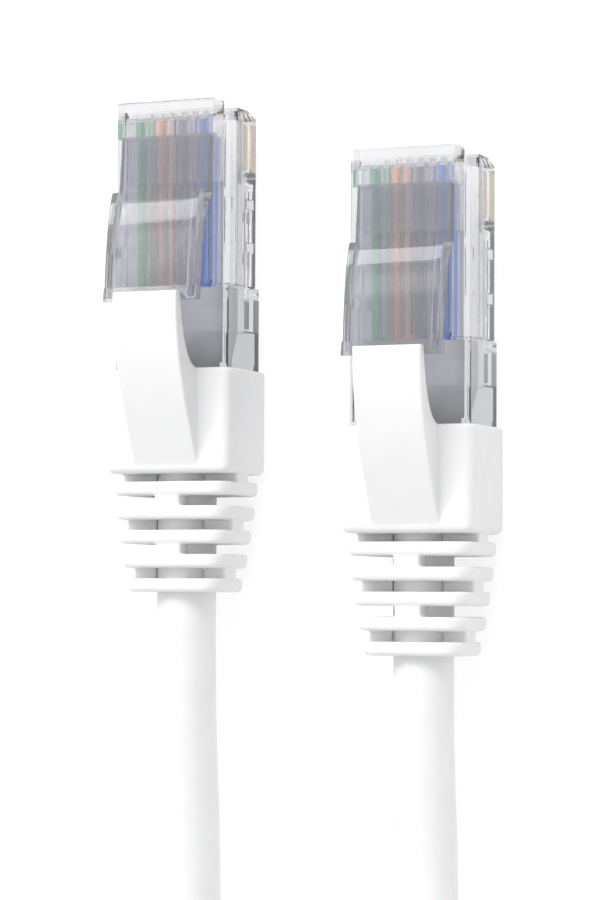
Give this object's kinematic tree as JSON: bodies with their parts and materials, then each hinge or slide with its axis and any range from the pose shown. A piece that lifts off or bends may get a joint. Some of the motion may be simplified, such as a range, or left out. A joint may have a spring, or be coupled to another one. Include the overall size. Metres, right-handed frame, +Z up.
{
  "type": "ethernet patch cable",
  "caption": "White round network patch cable with a clear latching modular plug, snagless boot and ribbed strain relief at each end, the spare length coiled and tied.",
  "frame": {"origin": "bottom centre of the two plugs with their boots, on the table", "axes": "+Y from the boots towards both noses, +Z up from the table on the latch side, +X to the right seen from above"},
  "size_m": [0.0624, 0.1427, 0.0171],
  "materials": {
    "clear_polycarbonate": "clear gloss polycarbonate",
    "clear_insert": "clear gloss polycarbonate, slightly frosted",
    "gold": "gold plating, polished",
    "copper": "bare copper",
    "white_pvc": "satin white PVC",
    "white_boot": "satin moulded white PVC",
    "tie_plastic": "satin white plastic over wire",
    "wire_green": "smooth polyethylene insulation",
    "wire_white_green": "smooth polyethylene insulation",
    "wire_orange": "smooth polyethylene insulation",
    "wire_white_orange": "smooth polyethylene insulation",
    "wire_brown": "smooth polyethylene insulation",
    "wire_white_brown": "smooth polyethylene insulation",
    "wire_blue": "smooth polyethylene insulation",
    "wire_white_blue": "smooth polyethylene insulation"
  },
  "bodies": {
    "cable": {"plug_housing_a": "clear_polycarbonate", "load_bar_a": "clear_insert", "crimp_bar_a": "clear_polycarbonate", "contact_1_a": "gold", "contact_2_a": "gold", "contact_3_a": "gold", "contact_4_a": "gold", "contact_5_a": "gold", "contact_6_a": "gold", "contact_7_a": "gold", "contact_8_a": "gold", "wire_green_a": "wire_green", "wire_white_green_a": "wire_white_green", "wire_orange_a": "wire_orange", "wire_white_orange_a": "wire_white_orange", "wire_brown_a": "wire_brown", "wire_white_brown_a": "wire_white_brown", "wire_blue_a": "wire_blue", "wire_white_blue_a": "wire_white_blue", "copper_cores_a": "copper", "jacket_end_a": "white_pvc", "boot_a": "white_boot", "plug_housing_b": "clear_polycarbonate", "load_bar_b": "clear_insert", "crimp_bar_b": "clear_polycarbonate", "contact_1_b": "gold", "contact_2_b": "gold", "contact_3_b": "gold", "contact_4_b": "gold", "contact_5_b": "gold", "contact_6_b": "gold", "contact_7_b": "gold", "contact_8_b": "gold", "wire_green_b": "wire_green", "wire_white_green_b": "wire_white_green", "wire_orange_b": "wire_orange", "wire_white_orange_b": "wire_white_orange", "wire_brown_b": "wire_brown", "wire_white_brown_b": "wire_white_brown", "wire_blue_b": "wire_blue", "wire_white_blue_b": "wire_white_blue", "copper_cores_b": "copper", "jacket_end_b": "white_pvc", "boot_b": "white_boot", "cable_run_a": "white_pvc", "cable_run_b": "white_pvc", "cable_coil": "white_pvc", "coil_tie": "tie_plastic"},
    "latch_a": {"latch_lever_a": "clear_polycarbonate"},
    "guard_a": {"latch_guard_a": "white_boot"},
    "latch_b": {"latch_lever_b": "clear_polycarbonate"},
    "guard_b": {"latch_guard_b": "white_boot"}
  },
  "joints": [
    {"name": "guard_press_a", "type": "hinge", "parent": "cable", "child": "guard_a", "pos_m": [-0.01115, 0.0004, 0.0104], "axis": [-1, 0, 0], "range_deg": [0, 18], "stiffness_Nm_per_rad": 0.03},
    {"name": "latch_press_a", "type": "hinge", "parent": "cable", "child": "latch_a", "pos_m": [-0.01115, 0.02015, 0.0083], "axis": [1, 0, 0], "range_deg": [0, 8.6], "stiffness_Nm_per_rad": 0.02},
    {"name": "guard_press_b", "type": "hinge", "parent": "cable", "child": "guard_b", "pos_m": [0.01115, -0.0049, 0.0104], "axis": [-1, 0, 0], "range_deg": [0, 18], "stiffness_Nm_per_rad": 0.03},
    {"name": "latch_press_b", "type": "hinge", "parent": "cable", "child": "latch_b", "pos_m": [0.01115, 0.01485, 0.0083], "axis": [1, 0, 0], "range_deg": [0, 8.6], "stiffness_Nm_per_rad": 0.02}
  ],
  "couplings": [
    {"joint": "latch_press_a", "follows": "guard_press_a", "ratio": 0.475},
    {"joint": "latch_press_b", "follows": "guard_press_b", "ratio": 0.475}
  ]
}
